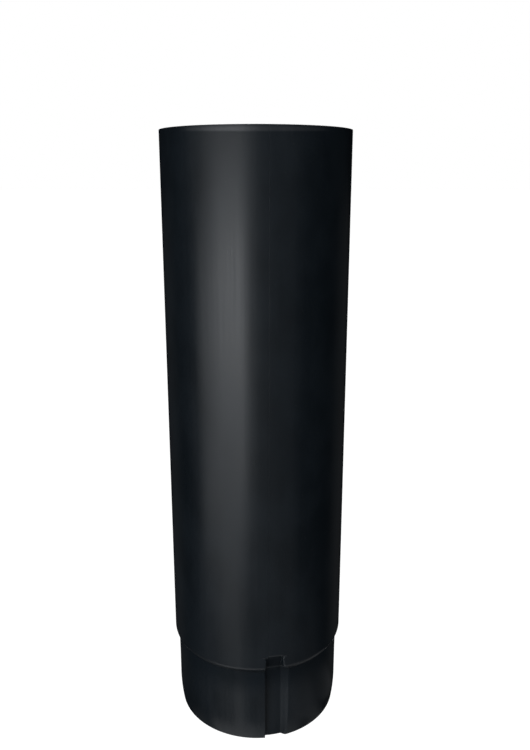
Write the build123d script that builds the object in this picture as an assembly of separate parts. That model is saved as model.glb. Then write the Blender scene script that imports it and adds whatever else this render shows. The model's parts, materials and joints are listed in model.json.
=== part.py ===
from build123d import *
from math import acos, atan, cos, degrees, radians, sin, tan
import os

# Round rainwater downpipe with a narrowed end, standing on that end.
# Millimetres, +Z up the pipe, origin at the middle of the lower rim.
# Angles run round the pipe from its front, -Y, towards +X.

# Sheet and tube
tube_diameter = 100.0
wall = 0.6
total_length = 334.5

# Spigot: the narrowed end that slides into the pipe below, up to the shoulder
insertion = 47.0
joint_clearance = 1.65
shoulder_round = 5.5
shoulder_foot_round = 0.4
lead_in_length = 15.0
lead_in_drop = 1.25

# Groove: the sheet along the seam is pressed in, to clear the seam of the pipe below
groove_depth = 3.25
groove_angle = 6.1
groove_floor_width = 9.0
groove_left_lean = 5.2
groove_right_lean = 48.0
groove_left_round = 0.7
groove_right_round = 2.0
groove_foot_round = 0.5

# Run-out: above the shoulder the groove climbs back to the full radius
run_out_start = 45.5
run_out_length = 10.5
run_out_lean = 2.0
run_out_taper = 16.0

# Lock seam: the two edges of the sheet, hooked into each other inside the tube
seam_gap = 0.15
seam_width = 8.6

# Sizes that follow from the ones above
tube_radius = tube_diameter / 2
spigot_radius = tube_radius - wall - joint_clearance
floor_radius = spigot_radius - groove_depth
shoulder_turn = acos(1 - (tube_radius - spigot_radius) / (shoulder_round + shoulder_foot_round))
shoulder_top = insertion + (shoulder_round**2 - (shoulder_round - wall) ** 2) ** 0.5
shoulder_bottom = shoulder_top - (shoulder_round + shoulder_foot_round) * sin(shoulder_turn)
seam_thickness = 4 * wall + 3 * seam_gap
run_out_end = run_out_start + run_out_length
groove_right_angle = groove_angle + degrees(groove_floor_width / floor_radius)
seam_angle = (groove_angle + groove_right_angle) / 2

# How far the cutting solids reach past the surfaces that they cut
overcut = 5.0


def around(radius, angle):
    """The point at this radius and this angle round the pipe."""
    return Vector(radius * sin(radians(angle)), -radius * cos(radians(angle)))


def turned(half_section):
    """The solid that a closed outline of radii and heights makes when turned round the axis."""
    return revolve(Plane.XZ * make_face(half_section), Axis.Z)


def tube_form(inset):
    """The round outer shape without its groove, moved inward by inset."""
    bend_centre = Vector(tube_radius - shoulder_round, shoulder_top)
    bend_reach = Vector(cos(shoulder_turn), -sin(shoulder_turn)) * (shoulder_round - inset)
    bend_meeting = bend_centre + bend_reach
    foot = Vector(spigot_radius - inset, lead_in_length)
    lower_bend = Vector(spigot_radius - inset, shoulder_bottom)
    upper_bend = Vector(tube_radius - inset, shoulder_top)
    top = Vector(tube_radius - inset, total_length)
    lead_in = (lead_in_length**2 + lead_in_drop**2) / (2 * lead_in_drop)
    rim = Vector(foot.X - lead_in + inset + ((lead_in - inset) ** 2 - lead_in_length**2) ** 0.5, 0)
    return turned(
        [
            Line((0, 0), rim),
            TangentArc(foot, rim, tangent=(0, -1)),
            Line(foot, lower_bend),
            TangentArc(lower_bend, bend_meeting, tangent=(0, 1)),
            TangentArc(upper_bend, bend_meeting, tangent=(0, -1)),
            Line(upper_bend, top),
            Line(top, (0, total_length)),
            Line((0, total_length), (0, 0)),
        ]
    )


def floor_form(inset):
    """The turned shape whose side is the groove's floor, its run-out and the tube above."""
    slope = atan((tube_radius - floor_radius) / run_out_length)
    lift = inset * tan(slope / 2)
    low, high = -overcut, total_length + overcut
    return turned(
        Polyline(
            (0, low),
            (floor_radius - inset, low),
            (floor_radius - inset, run_out_start + lift),
            (tube_radius - inset, run_out_end + lift),
            (tube_radius - inset, high),
            (0, high),
            close=True,
        )
    )


def side_wall(foot_angle, lean, shift):
    """The inner and outer end, in plan, of a groove wall that leans off the radius."""
    foot = around(floor_radius, foot_angle)
    along = around(1, foot_angle + lean)
    across = around(1, foot_angle + lean + 90)
    reach = groove_depth + tube_radius - spigot_radius + overcut
    return foot - along * overcut + across * shift, foot + along * reach + across * shift


def plan(left_lean, right_lean, inset, narrowed=0.0):
    """The plan of a groove between its two walls, grown by inset on both sides."""
    left = side_wall(groove_angle, -left_lean, narrowed - inset)
    right = side_wall(groove_right_angle, right_lean, inset)
    return make_face(Polyline(left[0], left[1], right[1], right[0], close=True))


def spigot_groove(inset):
    """What the groove takes out of the spigot, grown by inset, with its feet rounded."""
    section = plan(groove_left_lean, groove_right_lean, inset) - Circle(floor_radius - inset)
    feet = section.vertices().sort_by_distance((0, 0, 0))[:2]
    section = fillet(feet, groove_foot_round + inset)
    return extrude(Plane.XY.offset(-overcut) * section, overcut + shoulder_bottom + inset)


def run_out(inset):
    """What the climb back to the full radius takes out of the tube, grown by inset."""
    height = run_out_end + overcut - shoulder_bottom
    narrowed = height * tan(radians(run_out_taper))
    low_plane = Plane.XY.offset(shoulder_bottom)
    high_plane = Plane.XY.offset(shoulder_bottom + height)
    low_plan = low_plane * plan(run_out_lean, run_out_lean, inset)
    high_plan = high_plane * plan(run_out_lean, run_out_lean, inset, narrowed)
    return loft([low_plan, high_plan], ruled=True) - floor_form(inset)


def off_axis(edge):
    """How far the middle of an edge lies from the pipe's axis."""
    middle = edge.center()
    return Vector(middle.X, middle.Y).length


def pressed_form(inset):
    """The outer shape with the groove in it and its mouth rounded, moved inward by inset."""
    form = tube_form(inset) - spigot_groove(inset) - run_out(inset)
    for side, mouth_round in ((0, groove_left_round), (-1, groove_right_round)):
        upright = form.edges().filter_by(GeomType.LINE).filter_by(Axis.Z)
        mouth = upright.filter_by_position(Axis.Z, lead_in_length, shoulder_bottom)
        outermost = mouth.sort_by(off_axis)[-2:]
        form = fillet(outermost.sort_by(Axis.X)[side], mouth_round - inset)
    return form


def seam_strip(outer_radius, inner_radius, left, right):
    """The plan of a strip across the seam, between two radii and two distances off its middle."""
    depth = outer_radius + overcut
    window = Pos((left + right) / 2, -depth / 2) * Rectangle(right - left, depth)
    return Rot(Z=seam_angle) * window & (Circle(outer_radius) - Circle(inner_radius))


def seam_band():
    """The four layers of the lock seam, in one, behind the groove floor and up the tube."""
    deepest = floor_radius - seam_thickness - overcut
    strip = seam_strip(tube_radius + overcut, deepest, -seam_width / 2, seam_width / 2)
    layers = floor_form(0) - floor_form(seam_thickness)
    return extrude(strip, total_length) & layers


def seam_slot():
    """The gap between the two hooked edges, from the hairline outside to its open end inside."""
    left = -seam_width / 2 + wall
    right = seam_width / 2 - wall
    hook = left + seam_gap + wall
    tops = [tube_radius - wall - level * (wall + seam_gap) for level in range(3)]
    bottoms = [top - seam_gap for top in tops]
    slot = seam_strip(tube_radius + overcut, bottoms[2], left, left + seam_gap)
    slot += seam_strip(tops[2], bottoms[2], left, right)
    slot += seam_strip(tops[1], bottoms[2], right - seam_gap, right)
    slot += seam_strip(tops[1], bottoms[1], hook, right)
    slot += seam_strip(tops[0], bottoms[1], hook, hook + seam_gap)
    slot += seam_strip(tops[0], bottoms[0], hook, seam_width / 2 + overcut)
    foot = run_out_end + overcut
    return extrude(Plane.XY.offset(foot) * slot, total_length + overcut - foot)


sheet = pressed_form(0) - pressed_form(wall)
pipe_wall = sheet + seam_band() - seam_slot()
pipe_wall.label = "pipe_wall"

os.makedirs("parts", exist_ok=True)
export_step(pipe_wall, "parts/pipe_wall.step")
print("pipe_wall: volume", round(pipe_wall.volume), "mm3, solids", len(pipe_wall.solids()))
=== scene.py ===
# %% [markdown]
# # A black steel downpipe
#
# The real object is one strip of thin steel sheet, coated black on both faces, rolled into a
# tube and locked to itself along a folded seam. Its lower end is squeezed narrower, so that it
# slides into the pipe below, and along the seam that end has a groove pressed into it.
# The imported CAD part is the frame: it fixes every size, and everything here is built round it.

# %% Load the frame and its sizes
import json
import math

import bpy
import numpy as np
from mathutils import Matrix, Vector


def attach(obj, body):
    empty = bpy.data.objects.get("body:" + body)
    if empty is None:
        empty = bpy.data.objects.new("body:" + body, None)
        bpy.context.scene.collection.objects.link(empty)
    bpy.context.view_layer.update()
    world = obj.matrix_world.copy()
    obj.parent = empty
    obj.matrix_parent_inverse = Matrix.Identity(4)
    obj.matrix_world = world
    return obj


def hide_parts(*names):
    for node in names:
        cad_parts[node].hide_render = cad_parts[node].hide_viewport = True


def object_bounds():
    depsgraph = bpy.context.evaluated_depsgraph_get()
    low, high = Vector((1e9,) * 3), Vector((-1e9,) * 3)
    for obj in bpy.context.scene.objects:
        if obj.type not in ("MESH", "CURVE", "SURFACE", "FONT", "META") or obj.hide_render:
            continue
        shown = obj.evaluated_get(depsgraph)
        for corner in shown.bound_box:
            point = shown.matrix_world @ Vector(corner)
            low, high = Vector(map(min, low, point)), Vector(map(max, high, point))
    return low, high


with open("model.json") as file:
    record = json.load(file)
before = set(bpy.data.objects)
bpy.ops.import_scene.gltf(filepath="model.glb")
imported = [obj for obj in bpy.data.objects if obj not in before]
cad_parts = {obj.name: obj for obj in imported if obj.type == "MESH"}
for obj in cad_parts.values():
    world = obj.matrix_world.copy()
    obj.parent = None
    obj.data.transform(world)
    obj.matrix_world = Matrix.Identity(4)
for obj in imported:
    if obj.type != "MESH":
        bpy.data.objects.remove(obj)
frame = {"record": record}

MM = 0.001
cad_low, cad_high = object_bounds()
mounts = {mount["name"]: mount for mount in frame["record"]["mounts"]}
tube_radius = mounts["bracket_seat"]["dims"]["r_mm"] * MM
spigot_radius = mounts["spigot"]["dims"]["r_mm"] * MM
total_length = cad_high.z
print(f"tube {2 * tube_radius / MM:.1f} mm wide and {total_length / MM:.1f} mm long")

# %% [markdown]
# ## The sheet
#
# A tube like this could be a cylinder with a Solidify modifier, but then the seam and the
# pressed groove would be missing, and they are what tells a rolled pipe from a plastic one.
# So the mesh is made as the sheet itself is made: a strip with two free edges. Walking along
# the strip, the path starts at one hooked edge, runs once round the pipe and ends in the other
# hook. The same walk is repeated at many heights, and the rows are joined with four-sided
# faces. First come the sizes of the sheet and of its rounded ends. The spigot isn't quite
# straight: below the shoulder it swells a little, because there the sheet resists the press.

# %% Sizes of the sheet, the shoulder and the rim
wall = 0.6 * MM
edge_round = 0.12 * MM
lead_in_length = 15.0 * MM
lead_in_drop = 1.25 * MM
insertion = 47.0 * MM
shoulder_round = 5.5 * MM
shoulder_foot_round = 0.4 * MM
swell_start = 27.0 * MM
swell = 0.22 * MM
neck_radius = spigot_radius + swell
step = tube_radius - neck_radius
shoulder_turn = math.acos(1 - step / (shoulder_round + shoulder_foot_round))
shoulder_top = insertion + math.sqrt(shoulder_round**2 - (shoulder_round - wall) ** 2)
shoulder_bottom = shoulder_top - (shoulder_round + shoulder_foot_round) * math.sin(shoulder_turn)
shoulder_change = shoulder_top - shoulder_round * math.sin(shoulder_turn)
lead_in_radius = (lead_in_length**2 + lead_in_drop**2) / (2 * lead_in_drop)
print(f"the shoulder runs from {shoulder_bottom / MM:.1f} to {shoulder_top / MM:.1f} mm")


def round_radius(z):
    """Outer radius of the round part of the pipe at height z, without its groove."""
    if z < lead_in_length:
        below = lead_in_length - z
        return spigot_radius - lead_in_radius + math.sqrt(lead_in_radius**2 - below**2)
    if z < shoulder_bottom:
        share = max(z - swell_start, 0.0) / (shoulder_bottom - swell_start)
        return spigot_radius + swell * share**2
    if z < shoulder_change:
        up = z - shoulder_bottom
        return neck_radius + shoulder_foot_round - math.sqrt(shoulder_foot_round**2 - up**2)
    if z < shoulder_top:
        down = shoulder_top - z
        return tube_radius - shoulder_round + math.sqrt(shoulder_round**2 - down**2)
    return tube_radius


# %% [markdown]
# ## The groove
#
# The groove's floor keeps one radius over the whole spigot, then climbs back to the tube's
# radius just above the shoulder. The two bends of that climb are arcs, because the four
# layers of the seam behind the floor have to follow them without folding over themselves.

# %% Sizes of the groove and its floor
floor_radius = 44.5 * MM
climb_start = 45.5 * MM
climb_end = 56.0 * MM
climb = tube_radius - floor_radius
climb_lean = math.atan2(climb, climb_end - climb_start)
low_bend = 7.0 * MM
high_bend = 3.4 * MM
low_bend_start = climb_start - low_bend * math.tan(climb_lean / 2)
low_bend_end = low_bend_start + low_bend * math.sin(climb_lean)
high_bend_end = climb_end + high_bend * math.tan(climb_lean / 2)
high_bend_start = high_bend_end - high_bend * math.sin(climb_lean)


def groove_floor(z):
    """Radius of the groove's floor at height z, and how far it leans outward, in radians."""
    if z <= low_bend_start:
        return floor_radius, 0.0
    if z < low_bend_end:
        lean = math.asin((z - low_bend_start) / low_bend)
        return floor_radius + low_bend * (1 - math.cos(lean)), lean
    if z < high_bend_start:
        return floor_radius + (z - climb_start) * math.tan(climb_lean), climb_lean
    if z < high_bend_end:
        lean = math.asin((high_bend_end - z) / high_bend)
        return tube_radius - high_bend * (1 - math.cos(lean)), lean
    return tube_radius, 0.0


print(f"the floor climbs {climb / MM:.1f} mm, at {math.degrees(climb_lean):.0f} degrees")

# %% [markdown]
# ## The walls of the groove
#
# In plan each wall of the groove leans off the radius, and bends into the floor and into the
# round part with an arc. In the spigot the right wall lies much flatter than the left one,
# because the press spreads the sheet on that side. Above the shoulder both stand steep. Each
# pair of numbers below holds first the value in the spigot and then the value above the
# shoulder, and the heights say where one eases into the other. Points are in a plan that is
# turned so that its second axis points out through the middle of the seam, which makes the left
# wall the mirror of the right one, apart from its numbers.

# %% The walls' numbers
floor_half_width = 4.5 * MM
turnover_start = 45.9 * MM
turnover_end = 48.1 * MM
right_wall = {"lean": (54.0, 3.0), "foot": 1.5 * MM, "mouth": (2.0 * MM, 1.8 * MM)}
left_wall = {"lean": (11.0, 10.0), "foot": 0.14 * MM, "mouth": (0.25 * MM, 0.7 * MM)}
sharp_end = 40.0 * MM
sharp_fade = 4.0 * MM
inner_corner = 0.05 * MM
bend_steps = 6
wall_steps = 3
least_height = 0.01 * MM
foot_share = 0.4
mouth_share = 0.5
fade_height = 1.5 * MM
plain_start = 4.0 * MM
plain_end = 10.0 * MM


def ease(low, high, x):
    """0 below low and 1 above high, with a smooth change between them."""
    share = min(max((x - low) / (high - low), 0.0), 1.0)
    return share * share * (3 - 2 * share)


def on_circle(radius, angle):
    """The point in plan at this radius and angle."""
    return np.array((radius * math.sin(angle), radius * math.cos(angle)))


def bend(start, corner, end, steps):
    """Points on the arc from start to end whose tangents meet at corner."""
    into, out = corner - start, end - corner
    cosine = float(into @ out) / (np.linalg.norm(into) * np.linalg.norm(out))
    weight = math.sqrt((1 + cosine) / 2)
    points = []
    for share in np.linspace(0, 1, steps + 1):
        parts = (1 - share) ** 2, 2 * share * (1 - share) * weight, share**2
        points.append((parts[0] * start + parts[1] * corner + parts[2] * end) / sum(parts))
    return points


def crossing(point, direction, circle_angle, radius):
    """Where a line meets the tangent of a circle at circle_angle."""
    touch = on_circle(radius, circle_angle)
    normal = touch / radius
    return point + direction * float((touch - point) @ normal) / float(direction @ normal)


def groove_wall(z, numbers):
    """Plan points from the floor, up the wall, to the round part, for the right-hand side."""
    floor, outside = groove_floor(z)[0], round_radius(z)
    turned = ease(turnover_start, turnover_end, z)
    lean = math.radians(numbers["lean"][0] + turned * (numbers["lean"][1] - numbers["lean"][0]))
    opened = max(turned, ease(sharp_end, sharp_end + sharp_fade, z))
    mouth_round = numbers["mouth"][0] * (1 - opened) + numbers["mouth"][1] * opened
    up = np.array((math.sin(lean), math.cos(lean)))
    foot_angle = math.asin(floor_half_width / floor)
    foot = on_circle(floor, foot_angle)
    along = float(foot @ up)
    height = math.sqrt(max(along**2 + outside**2 - floor**2, 0.0)) - along
    height = max(height, least_height)
    mouth = foot + up * height
    mouth_angle = math.atan2(mouth[0], mouth[1])
    foot_turn = math.pi / 2 - lean + foot_angle
    foot_reach = min(numbers["foot"] * math.tan(foot_turn / 2), foot_share * height)
    mouth_turn = math.pi / 2 - lean + mouth_angle
    mouth_reach = min(mouth_round * math.tan(mouth_turn / 2), mouth_share * height)
    start_angle = foot_angle - foot_reach / floor
    end_angle = mouth_angle + mouth_reach / outside
    low_corner = crossing(foot, up, start_angle, floor)
    start = on_circle(floor, start_angle)
    low_end = low_corner + up * np.linalg.norm(low_corner - start)
    high_corner = crossing(foot, up, end_angle, outside)
    end = on_circle(outside, end_angle)
    high_start = high_corner - up * np.linalg.norm(high_corner - end)
    points = bend(start, low_corner, low_end, bend_steps)
    for share in np.linspace(0, 1, wall_steps + 1)[1:-1]:
        points.append(low_end + (high_start - low_end) * share)
    points += bend(high_start, high_corner, end, bend_steps)
    return np.array(points), height


def faded_wall(z, numbers):
    """The wall's points, moved on to the plain round tube where the groove has run out."""
    points, height = groove_wall(z, numbers)
    kept = ease(0.0, fade_height, height)
    spread = np.linspace(plain_start, plain_end, len(points))
    outside = round_radius(z)
    plain = np.array([on_circle(outside, distance / outside) for distance in spread])
    return points * kept + plain * (1 - kept)


for z in (2 * MM, 30 * MM, 48 * MM, 52 * MM, 56 * MM):
    points = groove_wall(z, right_wall)[0]
    angles = np.degrees(np.arctan2(points[:, 0], points[:, 1]))
    print(f"z {z / MM:.0f}: right wall from {angles[0]:.1f} to {angles[-1]:.1f} degrees")

# %% [markdown]
# ## The lock seam
#
# The seam has four layers. The right-hand edge of the strip stays at the surface, folds under
# at the hairline and comes back as the third layer. The left-hand edge dives below it, runs
# under it as the fourth layer and folds back up as the second, so that each hook holds the
# other. A depth of 0 is the outer surface, and depth grows towards the pipe's axis. Each
# station has two points, one on the sheet's outer face and one on its inner face.

# %% The hooks, as distances across the seam and depths
seam_gap = 0.03 * MM
pitch = wall + seam_gap
hairline = -3.6 * MM
seam_right = 4.3 * MM
hook_play = 0.5 * MM
fold_round = 0.06 * MM
inner_round = 0.04 * MM
fold_steps = 4
layer_steps = 8
side_steps = 3
dive_steps = 4


def corner(outer_centre, outer_round, inner_centre, inner_round, from_angle, to_angle):
    """Stations round a fold: one arc for the outer face and one for the inner face."""
    stations = []
    for angle in np.linspace(math.radians(from_angle), math.radians(to_angle), fold_steps + 1):
        spot = np.array((math.cos(angle), math.sin(angle)))
        outside = np.array(outer_centre) + outer_round * spot
        stations.append((outside, np.array(inner_centre) + inner_round * spot))
    return stations


def straight(first, last, steps):
    """Stations spaced evenly between two stations, without the first and the last."""
    shares = np.linspace(0, 1, steps + 1)[1:-1]
    return [tuple(first[k] + (last[k] - first[k]) * share for k in (0, 1)) for share in shares]


def hook_of_right_edge():
    """Stations of the edge that folds under: from its free edge to the surface."""
    free_edge = seam_right - wall - hook_play
    low = corner(
        (hairline + fold_round, 2 * pitch + wall - fold_round), fold_round,
        (hairline + wall + inner_round, 2 * pitch - inner_round), inner_round, 90, 180,
    )
    top = corner(
        (hairline + fold_round, fold_round), fold_round,
        (hairline + wall + inner_round, wall + inner_round), inner_round, 180, 270,
    )
    start = (np.array((free_edge, 2 * pitch + wall)), np.array((free_edge, 2 * pitch)))
    stations = [start] + straight(start, low[0], layer_steps) + low
    return stations + straight(low[-1], top[0], side_steps) + top


def hook_of_left_edge():
    """Stations of the edge that dives below: from the surface to its free edge."""
    dive = hairline - seam_gap
    top = corner(
        (dive - fold_round, fold_round), fold_round,
        (dive - wall - inner_round, wall + inner_round), inner_round, 270, 360,
    )
    low = corner(
        (dive + inner_round, 3 * pitch - inner_round), inner_round,
        (dive - wall + fold_round, 3 * pitch + wall - fold_round), fold_round, 180, 90,
    )
    right_low = corner(
        (seam_right - wall - inner_round, 3 * pitch - inner_round), inner_round,
        (seam_right - fold_round, 3 * pitch + wall - fold_round), fold_round, 90, 0,
    )
    right_top = corner(
        (seam_right - wall - inner_round, pitch + wall + inner_round), inner_round,
        (seam_right - fold_round, pitch + fold_round), fold_round, 0, -90,
    )
    free_edge = hairline + wall + hook_play
    end = (np.array((free_edge, pitch + wall)), np.array((free_edge, pitch)))
    stations = top + straight(top[-1], low[0], dive_steps) + low
    stations += straight(low[-1], right_low[0], layer_steps) + right_low
    stations += straight(right_low[-1], right_top[0], side_steps) + right_top
    return stations + straight(right_top[-1], end, layer_steps) + [end]


def in_seam(across, depth, z):
    """The place of a point of the seam, turned so that its second axis leaves through the seam."""
    floor, lean = groove_floor(z)
    radius = floor - depth * math.cos(lean)
    return (across, math.sqrt(radius**2 - across**2), z + depth * math.sin(lean))


print(f"hooks of {len(hook_of_right_edge())} and {len(hook_of_left_edge())} stations")

# %% [markdown]
# ## Heights of the rows
#
# A straight tube needs few rows. They crowd where the profile bends: at the lead-in of the
# spigot, round the foot of the shoulder and the shoulder itself, and up the climb of the groove.

# %% The rows, in groups of (lowest, highest, how many)
row_groups = (
    (1.0 * MM, lead_in_length, 9),
    (19.0 * MM, shoulder_bottom - 0.4 * MM, 16),
    (shoulder_bottom, shoulder_change, 4),
    (shoulder_change + 0.3 * MM, shoulder_top, 14),
    (shoulder_top + 0.4 * MM, high_bend_end + 0.3 * MM, 21),
    (62.0 * MM, total_length - 2.0 * MM, 34),
)
rows = [edge_round]
for lowest, highest, how_many in row_groups:
    rows += list(np.linspace(lowest, highest, how_many))
rows.append(total_length - edge_round)
print(f"{len(rows)} rows")

# %% [markdown]
# ## Rolling out the strip
#
# Between the two hooks the strip has one layer. There the outer face is known from the plan
# of the groove and the round part, and the inner face lies one sheet thickness behind it,
# measured square to the surface. The normals come from the grid of outer points itself.

# %% One row of the strip
floor_steps = 9
round_steps = 228
shelf_steps = 2


def open_row(z):
    """Outer points between the hooks: right along the floor, round the pipe, to the left hook."""
    floor, outside = groove_floor(z)[0], round_radius(z)
    right = faded_wall(z, right_wall)
    left = faded_wall(z, left_wall) * (-1, 1)
    first = math.asin((hairline + fold_round) / floor)
    foot = math.atan2(*right[0])
    points = [on_circle(floor, angle) for angle in np.linspace(first, foot, floor_steps + 1)[1:-1]]
    points += list(right)
    begin = math.atan2(*right[-1])
    end = 2 * math.pi + math.atan2(*left[-1])
    around = np.linspace(begin, end, round_steps + 1)[1:-1]
    points += [on_circle(outside, angle) for angle in around]
    points += list(left[::-1])
    last = math.asin((hairline - seam_gap - fold_round) / floor)
    foot = math.atan2(*left[0])
    points += [on_circle(floor, angle) for angle in np.linspace(foot, last, shelf_steps + 1)[1:-1]]
    return [(point[0], point[1], z) for point in points]


def behind(grid):
    """The grid moved one sheet thickness inward, square to its surface."""
    across = np.gradient(grid, axis=1)
    upward = np.gradient(grid, axis=0)
    normals = np.cross(across, upward)
    normals /= np.linalg.norm(normals, axis=2, keepdims=True)
    for rim in (0, -1):
        normals[rim, :, 2] = 0
        normals[rim] /= np.linalg.norm(normals[rim], axis=1, keepdims=True)
    outward = np.sign((normals[:, :, :2] * grid[:, :, :2]).sum(axis=2).mean())
    return grid - normals * outward * wall


def behind_sharp_bend(arc, beyond):
    """Inner points behind a bend that is sharper than the sheet is thick, in plan."""
    outward = arc[0] / np.linalg.norm(arc[0])
    into = np.array((-outward[1], outward[0]))
    if into @ (arc[-1] - arc[0]) < 0:
        into = -into
    down = (beyond - arc[-1]) / np.linalg.norm(beyond - arc[-1])
    first = arc[0] + wall * np.array((into[1], -into[0]))
    last = arc[-1] + wall * np.array((down[1], -down[0]))
    reach = np.linalg.solve(np.array((into, -down)).T, last - first)[0]
    meeting = first + into * reach
    start, end = meeting - into * inner_corner, meeting + down * inner_corner
    return np.array(bend(start, meeting, end, len(arc) - 1))


print(f"{len(open_row(0.0))} points between the hooks in each row")

# %% [markdown]
# A plain offset isn't enough in three places. Behind the groove's floor the inner face has to
# lie flat on the next layer of the seam, so it is taken from the seam's own layers. At the left
# lip, which is sharper than the sheet is thick, offset points would cross each other, so the
# inner face gets a small corner of its own. And beside the seam no inner point may reach into
# the layer that dives there, so they are held back.

# %% The whole strip, outer and inner face
near_seam_stations = 25
right_hook, left_hook = hook_of_right_edge(), hook_of_left_edge()
middle_outer = np.array([open_row(z) for z in rows])
middle_inner = behind(middle_outer)
hook_limit = hairline + wall + inner_round
dive_limit = hairline - seam_gap - wall - inner_round
for row, z in enumerate(rows):
    for k in range(floor_steps - 1):
        across = max(middle_outer[row, k, 0], hook_limit)
        middle_inner[row, k] = in_seam(across, wall, z)
mouth_first = floor_steps - 1 + len(faded_wall(0.0, right_wall)) + round_steps - 1
mouth_last = mouth_first + bend_steps
for row, z in enumerate(rows):
    if z < sharp_end + sharp_fade:
        arc = middle_outer[row, mouth_first : mouth_last + 1, :2]
        beyond = middle_outer[row, mouth_last + 1, :2]
        middle_inner[row, mouth_first : mouth_last + 1, :2] = behind_sharp_bend(arc, beyond)
sideways = middle_inner[:, :, 0]
near_seam = np.arange(sideways.shape[1]) > sideways.shape[1] - near_seam_stations
held_back = (middle_outer[:, :, 0] < 0) & near_seam
middle_inner[:, :, 0] = np.where(held_back, np.minimum(sideways, dive_limit), sideways)


def hook_grid(stations, face):
    """The points of a hook in every row, on its outer face (0) or its inner face (1)."""
    return np.array([[in_seam(*station[face], z) for station in stations] for z in rows])


outer = np.concatenate([hook_grid(right_hook, 0), middle_outer, hook_grid(left_hook, 0)], axis=1)
inner = np.concatenate([hook_grid(right_hook, 1), middle_inner, hook_grid(left_hook, 1)], axis=1)
for face in (outer, inner):
    face[0, :, 2] = rows[0]
    face[-1, :, 2] = rows[-1]
print(f"the strip has {outer.shape[1]} stations in {outer.shape[0]} rows")

# %% [markdown]
# ## Closing the strip into one mesh
#
# The outer rows, the rounded upper rim, the inner rows and the rounded lower rim make one
# closed loop, so a single rule joins everything. Only the two hidden free edges of the strip
# are closed by faces of their own. A rim is rounded by a few steps, each given as its share of
# the rounding inward and its share of the rounding that is still missing in height.

# %% The closed loop of rows
seam_angle = math.radians(11.9)
rim_steps = ((0.3, 0.3), (1.0, 0.0))


def rim_rows(first, second, level, side):
    """Rows that lead over a sheared rim, rounded at both of its edges."""
    share = edge_round / wall
    over_rim = []
    for near, far, steps in ((first, second, rim_steps), (second, first, rim_steps[::-1])):
        for inward, from_level in steps:
            row = near + (far - near) * share * inward
            row[:, 2] = level - side * edge_round * from_level
            over_rim.append(row)
    return over_rim


loop = list(outer)
loop += rim_rows(outer[-1], inner[-1], total_length, 1)
loop += list(inner[::-1])
loop += rim_rows(inner[0], outer[0], 0.0, -1)
loop = np.array(loop)
ring, stations = loop.shape[:2]
sine, cosine = math.sin(seam_angle), math.cos(seam_angle)
points = loop.reshape(-1, 3)
points[:, :2] = points[:, :2] @ np.array(((cosine, sine), (sine, -cosine)))
print(f"a loop of {ring} rows with {stations} points each")

# %% The faces between the rows, and the mesh
faces = []
for row in range(ring):
    here, after = row * stations, (row + 1) % ring * stations
    for k in range(stations - 1):
        faces.append((here + k, here + k + 1, after + k + 1, after + k))
count = len(rows)
last_inner = ring // 2 + count - 1
upper_rim = range(count - 1, ring // 2 + 1)
lower_rim = range(last_inner, ring + 1)
for k in (0, stations - 1):
    for row in range(count - 1):
        back = last_inner - row
        faces.append([place * stations + k for place in (row, row + 1, back - 1, back)])
    for rim in (upper_rim, lower_rim):
        faces.append([place % ring * stations + k for place in rim])

mesh = bpy.data.meshes.new("formed_sheet")
mesh.from_pydata(points.tolist(), [], faces)
mesh.validate()
sheet = bpy.data.objects.new("formed_sheet", mesh)
bpy.context.scene.collection.objects.link(sheet)
print(f"{len(mesh.vertices)} points and {len(mesh.polygons)} faces")

# %% [markdown]
# The faces are shaded smooth. A weighted normal modifier lets the broad faces decide the shading
# beside the narrow bends, so the walls of the groove stay flat and only its corners look round.
# Then the sheet is attached to the root body, and the CAD part pipe_wall, whose place it takes,
# is hidden.

# %% Smooth it, attach it and hide the CAD part
mesh.shade_smooth()
evened = sheet.modifiers.new("evened_normals", "WEIGHTED_NORMAL")
evened.keep_sharp = True
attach(sheet, "root")
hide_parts("pipe_wall")
triangles = sum(len(face.vertices) - 2 for face in mesh.polygons)
print(f"the sheet counts {triangles} triangles")

# %% [markdown]
# ## The coat
#
# The steel comes to the roller with its coat already on it: a satin, bluish-black polyester
# film. Such a film is never one flat colour. It is slightly mottled, it has the fine dimples
# of dried paint, and drawing the strip between rollers leaves faint streaks along the pipe.
# All of it is computed from the place on the pipe, in metres, so it stays put when the pipe is
# turned, and nothing has to be unwrapped. First come a few small helpers for the node tree.

# %% Helpers for the coat's nodes
coat = bpy.data.materials.new("black_coated_steel")
coat.use_nodes = True
tree = coat.node_tree
film = tree.nodes["Principled BSDF"]
on_pipe = tree.nodes.new("ShaderNodeTexCoord").outputs["Object"]


def grain(per_metre_round, per_metre_along, detail):
    """A cloudy pattern with this many waves per metre round the pipe and along it."""
    stretched = tree.nodes.new("ShaderNodeMapping")
    stretched.inputs["Scale"].default_value = (per_metre_round, per_metre_round, per_metre_along)
    tree.links.new(on_pipe, stretched.inputs["Vector"])
    clouds = tree.nodes.new("ShaderNodeTexNoise")
    clouds.inputs["Scale"].default_value = 1.0
    clouds.inputs["Detail"].default_value = detail
    tree.links.new(stretched.outputs["Vector"], clouds.inputs["Vector"])
    return clouds.outputs["Fac"]


def ramp(value, start, end, at_start, at_end):
    """The value, eased from at_start to at_end while it goes from start to end."""
    mapped = tree.nodes.new("ShaderNodeMapRange")
    mapped.interpolation_type = "SMOOTHSTEP"
    tree.links.new(value, mapped.inputs["Value"])
    limits = {"From Min": start, "From Max": end, "To Min": at_start, "To Max": at_end}
    for socket, number in limits.items():
        mapped.inputs[socket].default_value = number
    return mapped.outputs["Result"]


def joined(operation, first, *others):
    """Values joined by a sum, a product or another operation; the others may be numbers."""
    for other in others:
        node = tree.nodes.new("ShaderNodeMath")
        node.operation = operation
        tree.links.new(first, node.inputs[0])
        if isinstance(other, float):
            node.inputs[1].default_value = other
        else:
            tree.links.new(other, node.inputs[1])
        first = node.outputs["Value"]
    return first


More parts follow.
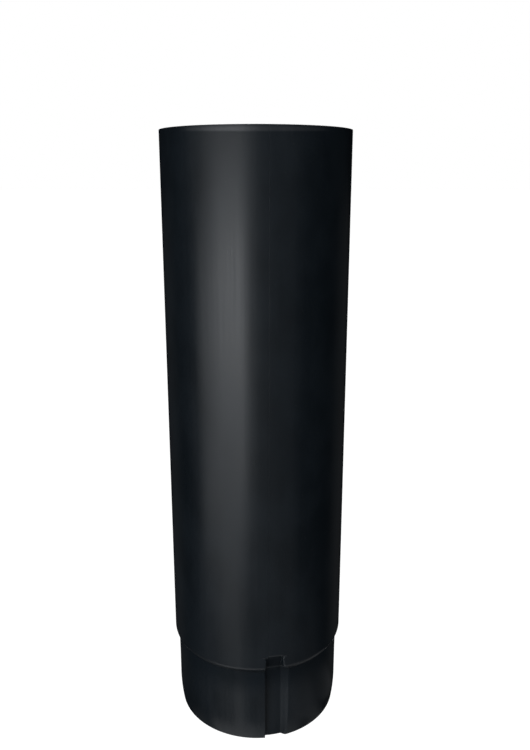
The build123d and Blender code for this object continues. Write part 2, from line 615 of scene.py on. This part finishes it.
def band(value, rise, fall):
    """1 while the value lies between rise and fall, easing from 0 and back to 0 within them."""
    return joined("MULTIPLY", ramp(value, *rise, 0.0, 1.0), ramp(value, *fall, 1.0, 0.0))


def tinted(below, colour, share):
    """The colour below, mixed with another colour by a share that varies over the pipe."""
    mix = tree.nodes.new("ShaderNodeMix")
    mix.data_type = "RGBA"
    tree.links.new(share, mix.inputs["Factor"])
    under, over = [socket for socket in mix.inputs if socket.type == "RGBA"]
    if isinstance(below, tuple):
        under.default_value = below
    else:
        tree.links.new(below, under)
    over.default_value = colour
    return next(socket for socket in mix.outputs if socket.type == "RGBA")


# %% [markdown]
# ## Where the coat is worn, and where light and shade are painted
#
# Wear follows use, so each kind of wear is a mask between 0 and 1 that is computed from the
# place on the pipe, and so is each painted highlight, sheen and shade. The masks need the height,
# the distance from the upper rim and, squared to spare a root, the distances from the middle
# plane and from the axis.

# %% Places on the pipe
place = tree.nodes.new("ShaderNodeSeparateXYZ")
tree.links.new(on_pipe, place.inputs["Vector"])
side, depth_way, height = place.outputs["X"], place.outputs["Y"], place.outputs["Z"]
below_top = joined("ADD", joined("MULTIPLY", height, -1.0), total_length)
side_squared = joined("MULTIPLY", side, side)
radius_squared = joined("ADD", side_squared, joined("MULTIPLY", depth_way, depth_way))

# %% [markdown]
# The sheared rims show bare steel where the blade cut through the coat. The cut is a tenth of a
# millimetre deep and not quite even, so small nicks from a fine noise shift its edge.

# %% Bare steel on the rims
ragged = grain(900.0, 900.0, 3.0)
cut_edge = (0.03 * MM, 0.10 * MM)
nick_limits = (0.56, 0.74)
nick_depth = 0.16 * MM
nicks = ramp(ragged, *nick_limits, 0.0, nick_depth)


def cut_through(from_rim):
    """Where the coat is cut away, for a distance from a rim."""
    return ramp(joined("SUBTRACT", from_rim, nicks), *cut_edge, 1.0, 0.0)


bare = joined("MAXIMUM", cut_through(below_top), cut_through(height))
print(f"bare steel up to {cut_edge[1] / MM:.2f} mm from each rim")

# %% [markdown]
# The outside of the upper rim has a painted highlight at the front: a band a little over 3 mm
# deep that is lighter and reflects more than the rest. It is faint right at the rim, gets
# shallower towards the sides and ends before them.

# %% The painted highlight under the upper rim
rim_highlight_edge = (2.5 * MM, 3.6 * MM)
rim_highlight_lip = (0.2 * MM, 1.8 * MM)
rim_highlight_at_lip = 0.25
rim_highlight_sides = (29 * MM, 37 * MM)
rim_highlight_front = (-25 * MM, -20 * MM)
rim_highlight_loss = 0.74
rim_highlight_grain = (0.3, 0.6)
rim_highlight_least = 0.85
shallower = joined("MULTIPLY", side_squared, rim_highlight_loss)
painted_rim_highlight = joined(
    "MULTIPLY",
    ramp(joined("ADD", below_top, shallower), *rim_highlight_edge, 1.0, 0.0),
    ramp(below_top, *rim_highlight_lip, rim_highlight_at_lip, 1.0),
    ramp(joined("ABSOLUTE", side, 0.0), *rim_highlight_sides, 1.0, 0.0),
    ramp(depth_way, *rim_highlight_front, 1.0, 0.0),
    ramp(ragged, *rim_highlight_grain, rim_highlight_least, 1.0),
)
print(f"rubbed band {rim_highlight_edge[1] / MM:.1f} mm deep")

# %% [markdown]
# The coat on the spigot reflects a little more between 2 and 34 mm up: a painted sheen. Right
# under the shoulder and in the pocket where the groove runs out it reflects less: painted shade.
# The pocket is known by its smaller distance from the axis.

# %% Painted sheen and painted shade on the spigot
painted_spigot_sheen = band(height, (2 * MM, 12 * MM), (20 * MM, 34 * MM))
shade_under_shoulder = band(height, (28 * MM, 42 * MM), (45.2 * MM, 46.2 * MM))
pocket_edge = (48.8 * MM) ** 2, (49.8 * MM) ** 2
pocket_heights = band(height, (44 * MM, 46 * MM), (52 * MM, 57 * MM))
shade_in_pocket = joined("MULTIPLY", ramp(radius_squared, *pocket_edge, 1.0, 0.0), pocket_heights)
painted_shoulder_shade = joined("MAXIMUM", shade_under_shoulder, shade_in_pocket)
print(f"the masks are built of {len(tree.nodes)} nodes")

# %% [markdown]
# ## Colour of the coat
#
# The film is nearly black, a little bluish, and mottled between two close tones. A few specks of
# dust lie on it. The painted highlight under the upper rim is greyer, and the cut rims have the
# colour of steel, which is also the only place that is metallic.

# %% Colours
deep_black = (0.0056, 0.0082, 0.0108, 1)
soft_black = (0.0078, 0.0111, 0.0145, 1)
rim_highlight_grey = (0.020, 0.023, 0.027, 1)
dust_grey = (0.045, 0.046, 0.047, 1)
bare_steel = (0.20, 0.205, 0.21, 1)
tone_limits = (0.35, 0.65)
speck_limits = (0.70, 0.80)
speck_strength = 0.3
mottle = grain(45.0, 30.0, 3.0)
specks = grain(1300.0, 1300.0, 1.0)
colour = tinted(deep_black, soft_black, ramp(mottle, *tone_limits, 0.0, 1.0))
colour = tinted(colour, dust_grey, ramp(specks, *speck_limits, 0.0, speck_strength))
# painted highlight: the band under the upper rim is lighter
colour = tinted(colour, rim_highlight_grey, painted_rim_highlight)
colour = tinted(colour, bare_steel, bare)
tree.links.new(colour, film.inputs["Base Color"])
tree.links.new(bare, film.inputs["Metallic"])

# %% [markdown]
# ## Sheen of the coat
#
# The sheen of a satin film is a roughness near 0.3, a little uneven along the streaks that the
# rollers left. How much it reflects is a second value: more in the painted highlight under the
# upper rim and the painted sheen on the lower spigot, less in the painted shade under the
# shoulder and in the pocket.

# %% Sheen
satin = 0.30
uneven_limits = (0.3, 0.7)
streak_share = 0.015
mottle_share = 0.012
bare_share = 0.12
streaks = grain(700.0, 14.0, 2.0)
sheen = joined(
    "ADD",
    ramp(streaks, *uneven_limits, -streak_share, streak_share),
    ramp(mottle, *uneven_limits, -mottle_share, mottle_share),
    satin,
    joined("MULTIPLY", bare, bare_share),
)
tree.links.new(sheen, film.inputs["Roughness"])

plain_shine = 0.5
spigot_sheen_gain = 0.06
shoulder_shade_loss = 0.33
rim_highlight_gain = 0.5
# painted sheen on the lower spigot, painted shade under the shoulder and in the pocket
shine = joined("ADD", joined("MULTIPLY", painted_spigot_sheen, spigot_sheen_gain), plain_shine)
shine = joined("SUBTRACT", shine, joined("MULTIPLY", painted_shoulder_shade, shoulder_shade_loss))
# painted highlight: more reflection in the band under the upper rim
shine = joined("ADD", shine, joined("MULTIPLY", painted_rim_highlight, rim_highlight_gain))
tree.links.new(shine, film.inputs["Specular IOR Level"])

# %% [markdown]
# ## Relief of the coat
#
# The relief is a bump of a few thousandths of a millimetre: the dimples of dried paint, the
# streaks and the slow ripples of thin sheet. It doesn't change the outline, but it breaks up the
# reflections as real paint does.

# %% Relief
dimples = grain(1000.0, 1000.0, 1.0)
ripples = grain(70.0, 25.0, 1.0)
relief = None
for pattern, lift in ((dimples, 0.006 * MM), (streaks, 0.003 * MM), (ripples, 0.012 * MM)):
    bump = tree.nodes.new("ShaderNodeBump")
    bump.inputs["Distance"].default_value = lift
    tree.links.new(pattern, bump.inputs["Height"])
    if relief is not None:
        tree.links.new(relief, bump.inputs["Normal"])
    relief = bump.outputs["Normal"]
tree.links.new(relief, film.inputs["Normal"])
mesh.materials.append(coat)
print(f"the coat is built of {len(tree.nodes)} nodes")

# %% [markdown]
# ## The white surroundings
#
# The pipe stands on a pale floor in front of a white background. A black, shiny tube mirrors
# everything round it, so floor and background are hidden from its reflections, and only the
# softboxes of the next step are mirrored. The floor has a light of its own, as strong as it
# needs to be to look white and no stronger, so that it doesn't bleed over the outline.

# %% Floor
floor_size = 40.0
floor_white = (0.9, 0.9, 0.9, 1)
floor_light_strength = 3.8
bpy.ops.mesh.primitive_plane_add(size=floor_size)
floor_plane = bpy.context.object
floor_plane.name = "studio_floor"
floor_plane.visible_glossy = False
floor_plane.visible_diffuse = False
floor_plane.visible_shadow = False
pale = bpy.data.materials.new("pale_floor")
pale.use_nodes = True
paper = pale.node_tree.nodes["Principled BSDF"]
paper.inputs["Base Color"].default_value = floor_white
paper.inputs["Roughness"].default_value = 1.0
floor_plane.data.materials.append(pale)


def only_on(thing):
    """A collection that holds one object, for a light that is to reach nothing else."""
    reached = bpy.data.collections.new("light_on_" + thing.name)
    reached.objects.link(thing)
    return reached


def add_light(data, reached):
    """Put a light in the scene, unseen by the camera and linked to what it may reach."""
    light = bpy.data.objects.new(data.name, data)
    bpy.context.scene.collection.objects.link(light)
    light.visible_camera = False
    light.light_linking.receiver_collection = reached
    return light


overhead = bpy.data.lights.new("floor_light", "SUN")
overhead.energy = floor_light_strength
overhead.use_shadow = False
add_light(overhead, only_on(floor_plane))
print(f"floor of {floor_size:.0f} m, lit at strength {floor_light_strength}")

# %% [markdown]
# The background is plain white, seen by the camera only. The view transform is the plain one,
# which leaves white as white and the black as deep as it was set.

# %% Background
world = bpy.data.worlds.new("studio")
bpy.context.scene.world = world
world.use_nodes = True
background = world.node_tree.nodes["Background"]
background.inputs["Color"].default_value = (1, 1, 1, 1)
background.inputs["Strength"].default_value = 1.0
world.cycles_visibility.glossy = False
world.cycles_visibility.diffuse = False
bpy.context.scene.view_settings.view_transform = "Standard"

# %% [markdown]
# ## The softboxes
#
# On a dark satin tube the light is the picture: what one sees is the softboxes, drawn out
# into upright bands. The photograph shows one broad soft band left of the middle, brightest
# a third of the way down, a dim right half and a dim glow at both outlines. So the main
# softboxes stand at the front left, low, in layers that overlap; weak ones fill the right
# side and the outlines, and a few below light the underside of the shoulder. Each is given by
# the directions that it covers, seen from the pipe: degrees round from the front, towards the
# right, and degrees up. A wide one is made of upright strips, so that it curves round the pipe.
# The boxes at the top light the painted highlight under the upper rim, and those behind the pipe
# are for the views from the back, which would be black without them. With an energy of pi times
# its area, a box of brightness 1 is mirrored as pure white, so the brightnesses can be compared
# with each other.

# %% Softboxes, as name: (left, right, low, high, brightness)
softboxes = {
    "core": (-24, -12, -27, 3, 1.183),
    "main_band": (-48, -12, -9, -3, 1.955),
    "main_glow": (-72, -12, -15, -3, 1.493),
    "upright": (-48, -24, -35, 3, 0.583),
    "wide_glow": (-60, 0, -27, 9, 0.372),
    "low_glow": (-72, -48, -27, -21, 1.143),
    "rim_glow": (-84, 0, 3, 9, 0.277),
    "right_fill": (0, 25, -40, 4, 0.149),
    "far_right_fill": (25, 50, -40, 4, 0.110),
    "left_outline": (-150, -115, -40, 0, 0.026),
    "right_outline": (115, 150, -40, 0, 0.035),
    "under_front": (-40, 0, -70, -50, 0.66),
    "under_left": (-80, -40, -70, -50, 0.62),
    "under_front_right": (0, 40, -70, -50, 0.45),
    "under_far_right": (40, 75, -70, -50, 0.30),
    "under_left_outline": (-130, -95, -70, -48, 0.10),
    "under_right_outline": (95, 130, -70, -48, 0.18),
    "spigot_band": (-32, -20, -50, -38, 0.5),
    "under_right": (40, 90, -50, -36, 0.087),
    "top_left": (-52, -28, 33, 57, 12.35),
    "top_right": (28, 52, 33, 57, 9.141),
    "back_band": (168, 192, -14, 8, 2.6),
    "back_glow": (165, 195, -42, -14, 1.1),
    "under_back": (150, 210, -75, -45, 0.5),
    "top_back": (165, 195, 33, 57, 8.0),
}
cool_white = (0.97, 1.0, 1.035)
light_distance = 3.0
widest_strip = 25.0
pipe_middle = Vector((0, 0, 0.2))
on_sheet = only_on(sheet)


def towards(round_angle, up_angle):
    """The direction at these angles, in degrees, seen from the pipe."""
    turn_round, turn_up = math.radians(round_angle), math.radians(up_angle)
    flat = math.cos(turn_up)
    return Vector((flat * math.sin(turn_round), -flat * math.cos(turn_round), math.sin(turn_up)))


def softbox(name, left, right, low, high, brightness):
    """Upright strips of light that cover these directions with one brightness."""
    strips = math.ceil((right - left) / widest_strip)
    edges = np.linspace(left, right, strips + 1)
    for start, end in zip(edges[:-1], edges[1:]):
        up_angle = (low + high) / 2
        place = pipe_middle + towards((start + end) / 2, up_angle) * light_distance
        panel = bpy.data.lights.new(name, "AREA")
        panel.color = cool_white
        panel.shape = "RECTANGLE"
        half_turn, half_rise = math.radians(end - start) / 2, math.radians(high - low) / 2
        panel.size = 2 * light_distance * math.tan(half_turn) * math.cos(math.radians(up_angle))
        panel.size_y = 2 * light_distance * math.tan(half_rise)
        panel.energy = math.pi * panel.size * panel.size_y * brightness
        lamp = add_light(panel, on_sheet)
        lamp.location = place
        lamp.rotation_euler = (pipe_middle - place).to_track_quat("-Z", "Y").to_euler()
    return strips


for name, (left, right, low, high, brightness) in softboxes.items():
    strips = softbox(name, left, right, low, high, brightness)
    print(f"{name}: {right - left} degrees wide, {strips} strips, brightness {brightness}")

# %% [markdown]
# Two small round lights lie almost under the rim, at the right. They put the faint shine on
# the right side of the spigot that the photograph shows there.

# %% Lights beside the foot
foot_light_reach = 70 * MM
foot_light_size = 36 * MM
foot_light_drop = 3 * MM
for name, round_angle, brightness in (("foot_right", 50, 0.046), ("foot_far_right", 80, 0.047)):
    disc = bpy.data.lights.new(name, "AREA")
    disc.color = cool_white
    disc.shape = "DISK"
    disc.size = foot_light_size
    disc.energy = math.pi * math.pi * foot_light_size**2 / 4 * brightness
    lamp = add_light(disc, on_sheet)
    lamp.location = towards(round_angle, 0) * foot_light_reach - Vector((0, 0, foot_light_drop))
    lamp.rotation_euler = (math.pi, 0, 0)
    print(f"{name}: at {round_angle} degrees, brightness {brightness}")

# %% [markdown]
# ## The camera
#
# The upper rim arches upward in the photograph and nothing of the inside shows, so the eye
# was a little below the rim. The sides lean together towards the bottom, which gives the tilt,
# and the width and the height of the outline give the distance and the lens.

# %% Camera
camera_data = bpy.data.cameras.new("photo_camera")
camera_data.lens = 35.32
camera = bpy.data.objects.new("photo_camera", camera_data)
bpy.context.scene.collection.objects.link(camera)
camera.location = (0.004705, -0.400965, 0.31062)
camera_tilt = math.radians(14.96)
camera.rotation_euler = (math.pi / 2 - camera_tilt, 0, 0)
bpy.context.scene.camera = camera
print(f"the eye is {(total_length - camera.location.z) / MM:.0f} mm below the upper rim")
